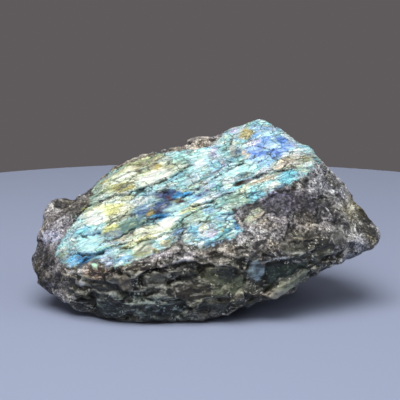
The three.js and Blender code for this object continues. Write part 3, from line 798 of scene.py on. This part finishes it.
# ---- The chunk: its finish ----------------------------
# The bare broken stone, neither cut nor polished: grey feldspar grains with white and black ones among
# them, clear dark feldspar like bottle glass where it chipped, and the satin shine of the cleavage face.
# One material has all three, and reads from the points of the chunk where each one lies.

# The rock's tones, each where it is cool and where it is warm.
DARK_ROCK = (0x232327, 0x292824)
MID_ROCK = (0x58585D, 0x5F5B53)
LIGHT_ROCK = (0x9C9CA3, 0xA09C90)
WHITE_GRAIN = 0xE6E6E2
# The clear feldspar's tones, from its depths to where it is cloudy.
GLASS_BLACK, GLASS_DARK, GLASS_MID, GLASS_CLOUDY = 0x101310, 0x262922, 0x43453A, 0x6A6C60
GLASS_BROWN = 0x2E2620
CRUSHED = 0x7A796E
THREAD = 0xA8A99E
PAINTED_GLINT = 0xC4C8C2
FLAKE_RIM_HIGHLIGHT = 0xA9AA9F
# What the flash is multiplied by, in its darker plates and in the lines between them.
GREEN_PLATE = 0x7FB8B4
GREEN_SPECK = 0x6E9488
PLATE_LINE = 0x3C4D48
BRICK_LINE = 0x2A3733
FINE_LINE = 0x33413E
SEAM_AND_SHADOW_LINE = 0x29332E
SILK_DARK = (0.80, 0.88, 0.92)
SILK_LIGHT = (1.18, 1.18, 1.26)
BRIGHT_PLATE = (1.45, 1.45, 1.4, 1)
SPECK_GLINT = (1.5, 1.5, 1.45, 1)
FLASH_LIMIT = (0.86, 0.88, 0.85)
# How many plates, bricks and fine bricks there are in a millimetre along and across the face.
PLATES_PER_MM = (0.32, 0.85, 0.0)
BRICKS_PER_MM = (0.16, 0.38, 0)
FINE_BRICKS_PER_MM = (0.8, 1.6, 0)
GRAINS_PER_MM = 1.15
FINE_GRAINS_PER_MM = 2.5
FELDSPAR_IOR = 1.56

stone = bpy.data.materials.new("labradorite rock")
stone.use_nodes = True
tree = stone.node_tree
shader = tree.nodes["Principled BSDF"]


def plug(socket, value):
    """Links an output to a socket, or sets the socket's own value."""
    if isinstance(value, bpy.types.NodeSocket):
        tree.links.new(value, socket)
    else:
        socket.default_value = value


def node(kind, *values, **settings):
    """A new node with its settings, and its first inputs plugged in order."""
    made = tree.nodes.new(kind)
    for name, value in settings.items():
        setattr(made, name, value)
    for socket, value in zip(made.inputs, values):
        plug(socket, value)
    return made


def maths(operation, *values):
    return node("ShaderNodeMath", *values, operation=operation).outputs[0]


def times(first, second):
    return maths("MULTIPLY", first, second)


def plus(first, *others):
    total = first
    for other in others:
        total = maths("ADD", total, other)
    return total


def rest(share):
    """What a share leaves of the whole."""
    return maths("SUBTRACT", 1.0, share)


def vector(operation, first, second):
    made = node("ShaderNodeVectorMath", first, second, operation=operation)
    return made.outputs["Value" if operation == "DOT_PRODUCT" else "Vector"]


def scaled(first, by):
    return vector("MULTIPLY", first, by)


def centred(colour):
    """Random colours as values around nothing."""
    return vector("SUBTRACT", colour, (0.5, 0.5, 0.5))


def blend(share, first, second, how="MIX"):
    made = node("ShaderNodeMix", data_type="RGBA", blend_type=how, clamp_factor=True)
    plug(made.inputs["Factor"], share)
    plug(made.inputs["A"], first)
    plug(made.inputs["B"], second)
    return made.outputs["Result"]


def dyed(colour, share, tint):
    """The colour multiplied by a tint, as far as the share says."""
    return blend(share, colour, tint, "MULTIPLY")


def fit(value, from_low, from_high, to_low=0.0, to_high=1.0, smooth=True):
    """The value carried from one range to another, and kept within it."""
    made = node("ShaderNodeMapRange", value, from_low, from_high, to_low, to_high)
    made.interpolation_type = "SMOOTHSTEP" if smooth else "LINEAR"
    return made.outputs[0]


def soft_noise(places, scale, detail=2.0, rough=0.5, which="Fac"):
    made = node("ShaderNodeTexNoise")
    plug(made.inputs["Vector"], places)
    made.inputs["Scale"].default_value = scale
    made.inputs["Detail"].default_value = detail
    made.inputs["Roughness"].default_value = rough
    return made.outputs[which]


def grains(places, scale, feature="F1"):
    made = node("ShaderNodeTexVoronoi", feature=feature)
    plug(made.inputs["Vector"], places)
    made.inputs["Scale"].default_value = scale
    return made


def to_border(places):
    """How far each place is from the border of the grain that it is in."""
    return grains(places, 1.0, "DISTANCE_TO_EDGE").outputs["Distance"]


def split(colour):
    """The three values of a colour."""
    return node("ShaderNodeSeparateColor", colour).outputs


def read(name, which="Fac"):
    """What the points of the chunk keep under the name."""
    return node("ShaderNodeAttribute", attribute_name=name).outputs[which]


def tone(code):
    """A colour for a socket, from its hexadecimal code."""
    return (*shade(code), 1)


# The flash: the painted colours, broken up into plates that run along the cleavage.
place = read("face", "Vector")
drift = centred(soft_noise(place, 0.14, 2, 0.5, "Color"))
flutter = centred(soft_noise(place, 0.7, 2, 0.6, "Color"))
waver = vector("ADD", scaled(drift, (3.5, 1.6, 0)), scaled(flutter, (2.2, 1.0, 0)))
warped = vector("ADD", place, waver)
stretched = scaled(warped, PLATES_PER_MM)
plates = grains(stretched, 1.0)
plate_size = (1 / PLATES_PER_MM[0], 1 / PLATES_PER_MM[1], 0)
plate_middle = scaled(plates.outputs["Position"], plate_size)
plate_lots = split(plates.outputs["Color"])

flash_colour = read("flash_colour", "Vector")
flash_colour = dyed(flash_colour, fit(plate_lots[0], 0.5, 1.0, 0, 1, False), BRIGHT_PLATE)
flash_colour = dyed(flash_colour, fit(plate_lots[1], 0.6, 1.0, 0, 0.45, False), tone(GREEN_PLATE))

# It has silky bands, finer than the plates.
silk_places = vector("ADD", scaled(place, (0.11, 1.25, 0)), scaled(drift, (0.5, 1.6, 0)))
silk = fit(soft_noise(silk_places, 1.0, 3, 0.6), 0.36, 0.62)
flash_colour = blend(silk, scaled(flash_colour, SILK_DARK), scaled(flash_colour, SILK_LIGHT))

# Away from its calm places it has painted glints and green specks, and dark lines run between its
# plates.
rough_here = rest(read("calm"))
speckle = soft_noise(place, 1.6, 3, 0.7)
flash_colour = dyed(flash_colour, times(fit(speckle, 0.55, 0.70), rough_here), SPECK_GLINT)
low_speckle = fit(speckle, 0.46, 0.34, 0, 0.6)
flash_colour = dyed(flash_colour, times(low_speckle, rough_here), tone(GREEN_SPECK))
plate_edge = to_border(stretched)
plate_line = times(fit(soft_noise(place, 0.35, 2), 0.42, 0.62), rough_here)
plate_line = times(fit(plate_edge, 0.055, 0.0, 0, 0.80), plate_line)
flash_colour = dyed(flash_colour, plate_line, tone(PLATE_LINE))
brick_line = fit(to_border(scaled(warped, BRICKS_PER_MM)), 0.045, 0.0, 0, 0.9)
brick_line = times(brick_line, fit(soft_noise(place, 0.22, 2), 0.42, 0.56))
brick_line = times(brick_line, rest(times(read("calm"), 0.6)))
flash_colour = dyed(flash_colour, brick_line, tone(BRICK_LINE))
fine_line = times(fit(soft_noise(place, 0.5, 2), 0.42, 0.56), rough_here)
fine_edge = to_border(scaled(warped, FINE_BRICKS_PER_MM))
fine_line = times(fit(fine_edge, 0.06, 0.0, 0, 0.85), fine_line)
flash_colour = dyed(flash_colour, fine_line, tone(FINE_LINE))
# The seams and cracks are darkened again: dark cracks, with painted shadow at each step.
flash_colour = dyed(flash_colour, fit(read("seam_and_step_shadow"), 0.2, 0.8, 0, 0.9), tone(SEAM_AND_SHADOW_LINE))

# The rock: grains of two sizes, lighter on worn edges and with painted shade in its nooks and hollows.
spot = scaled(node("ShaderNodeTexCoord").outputs["Object"], (1000, 1000, 1000))
shake = centred(soft_noise(spot, 0.9, 2, 0.6, "Color"))
shaken = vector("ADD", spot, scaled(shake, (1.1, 1.1, 1.1)))
grain = grains(shaken, GRAINS_PER_MM)
grain_lots = split(grain.outputs["Color"])
fine_lots = split(grains(shaken, FINE_GRAINS_PER_MM).outputs["Color"])
cloud = soft_noise(spot, 0.11, 3, 0.55)
wear_and_nook_shade_here = read("wear_and_nook_shade")
lightness = plus(times(grain_lots[0], 0.32), times(fine_lots[0], 0.42), 0.03)
lightness = plus(lightness, times(read("rock_tone_and_painted_light"), 0.58))
lightness = plus(lightness, times(wear_and_nook_shade_here, 0.45), times(read("bulge_wear_and_hollow_shade"), 0.14))
dark_rock = blend(fit(cloud, 0.4, 0.6), *map(tone, DARK_ROCK))
mid_rock = blend(fit(cloud, 0.35, 0.65), *map(tone, MID_ROCK))
light_rock = blend(fit(cloud, 0.35, 0.65), *map(tone, LIGHT_ROCK))
rock_colour = blend(fit(lightness, 0.26, 0.42), dark_rock, mid_rock)
rock_colour = blend(fit(lightness, 0.48, 0.66), rock_colour, light_rock)
rock_colour = blend(fit(lightness, 0.76, 0.90), rock_colour, tone(WHITE_GRAIN))

# Clear dark feldspar, with pale crushed streaks and threads through it, and a few painted glints where
# crystal faces catch the light.
lying = scaled(shaken, (0.42, 0.42, 1.0))
glass_tone = plus(soft_noise(lying, 0.5, 4, 0.65), times(read("flake_tone"), 0.30))
glass_tone = plus(glass_tone, times(maths("SUBTRACT", fine_lots[1], 0.5), 0.10))
glass_colour = blend(fit(glass_tone, 0.30, 0.48), tone(GLASS_BLACK), tone(GLASS_DARK))
glass_colour = blend(fit(glass_tone, 0.48, 0.62), glass_colour, tone(GLASS_MID))
glass_colour = blend(fit(glass_tone, 0.62, 0.80), glass_colour, tone(GLASS_CLOUDY))
brown_here = fit(soft_noise(spot, 0.12, 2), 0.50, 0.62, 0, 0.6)
glass_colour = blend(brown_here, glass_colour, tone(GLASS_BROWN))
along = node("ShaderNodeSeparateXYZ", spot).outputs[0]
slant = scaled(vector("ADD", shaken, scaled(along, (0, 0, -0.2))), (0.24, 0.24, 0.60))
streak = plus(times(soft_noise(slant, 0.9, 3, 0.6), 0.62), times(fine_lots[0], 0.22))
streak = plus(streak, times(wear_and_nook_shade_here, 0.5), times(read("rock_tone_and_painted_light"), 0.36))
crushed = fit(streak, 0.46, 0.66)
glass_colour = blend(times(crushed, 0.85), glass_colour, tone(CRUSHED))
thread = soft_noise(scaled(shaken, (0.35, 0.35, 1.7)), 1.0, 2, 0.5)
thread = plus(thread, times(plus(wear_and_nook_shade_here, read("rock_tone_and_painted_light")), 0.12))
glass_colour = blend(fit(thread, 0.58, 0.66, 0, 0.85), glass_colour, tone(THREAD))
painted_glint = times(fit(fine_lots[2], 0.88, 0.91), fit(soft_noise(spot, 0.3, 3), 0.48, 0.58))
glass_colour = blend(painted_glint, glass_colour, tone(PAINTED_GLINT))
glassy = maths("SUBTRACT", read("clear"), fit(lightness, 0.40, 0.80, 0, 0.4))
rock_colour = blend(fit(glassy, 0.15, 0.50), rock_colour, glass_colour)

# The single flakes of the front are rippled, as chipped glass is, and some have a painted highlight
# along their rim.
flake_here = read("flake_depth")
ripple = maths("SINE", plus(times(flake_here, 2.6), times(glass_tone, 9.0)))
flake_light = plus(glass_tone, plus(times(ripple, 0.08), times(wear_and_nook_shade_here, 0.25)))
flake_light = fit(flake_light, 0.32, 0.72)
flake_light = blend(flake_light, (0.42, 0.42, 0.42, 1), (2.0, 2.0, 1.95, 1))
flake_look = scaled(read("flake_colour", "Vector"), flake_light)
rock_colour = blend(fit(flake_here, -0.2, 0.3, 0, 0.74), rock_colour, flake_look)
flake_rim_highlight = fit(maths("ABSOLUTE", maths("SUBTRACT", flake_here, 0.05)), 0.42, 0.12)
some_rim_highlights = soft_noise(vector("ADD", spot, (7, 0, 3)), 0.22, 3, 0.6)
flake_rim_highlight = times(flake_rim_highlight, fit(some_rim_highlights, 0.50, 0.60))
rock_colour = blend(times(flake_rim_highlight, 0.6), rock_colour, tone(FLAKE_RIM_HIGHLIGHT))
rock_colour = dyed(rock_colour, 1.0, read("rock_tint", "Vector"))

# The flash stops at a ragged edge, and it is a little metallic, as satin is.
fray = fit(soft_noise(place, 0.6, 3, 0.65), 0.3, 0.7, -0.22, 0.22, False)
flash_here = fit(plus(read("flash"), fray), 0.05, 0.3)
flash_colour = vector("MINIMUM", flash_colour, FLASH_LIMIT)
plug(shader.inputs["Base Color"], blend(flash_here, rock_colour, flash_colour))
clear_here = times(fit(glassy, 0.15, 0.50), rest(times(crushed, 0.7)))
clear_here = maths("MAXIMUM", clear_here, fit(flake_here, 0.0, 0.4))
clear_here = times(clear_here, rest(flash_here))
grain_roughness = fit(grain_lots[1], 0, 1, 0.28, 0.6, False)
roughness = plus(times(grain_roughness, rest(clear_here)), times(clear_here, 0.30))
plug(shader.inputs["Roughness"], roughness)
plug(shader.inputs["Metallic"], times(flash_here, 0.35))
shader.inputs["Specular IOR Level"].default_value = 0.5
shader.inputs["IOR"].default_value = FELDSPAR_IOR

# The relief that is finer than the skin: each grain and each plate is tilted its own way.
from_grain = vector("SUBTRACT", shaken, grain.outputs["Position"])
facet = vector("DOT_PRODUCT", from_grain, centred(grain.outputs["Color"]))
rock_height = plus(times(facet, 0.9), times(fine_lots[1], 0.12))
rock_height = times(rock_height, rest(times(clear_here, 0.55)))
from_plate = vector("SUBTRACT", warped, plate_middle)
plate_tilt = scaled(centred(plates.outputs["Color"]), (0.1, 0.5, 0))
plate_slope = vector("DOT_PRODUCT", from_plate, plate_tilt)
face_height = plus(times(plate_slope, 0.6), times(soft_noise(place, 1.8, 3, 0.7), 0.35))
face_height = plus(face_height, times(fit(plate_edge, 0.0, 0.06), 0.06))
height = plus(times(rock_height, rest(flash_here)), times(face_height, flash_here))
bump = node("ShaderNodeBump")
plug(bump.inputs["Height"], height)
bump.inputs["Distance"].default_value = 0.001
bump.inputs["Strength"].default_value = 0.8
plug(shader.inputs["Normal"], bump.outputs[0])

chunk_mesh.materials.clear()
chunk_mesh.materials.append(stone)
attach(chunk, "root")
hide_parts("labradorite_chunk")
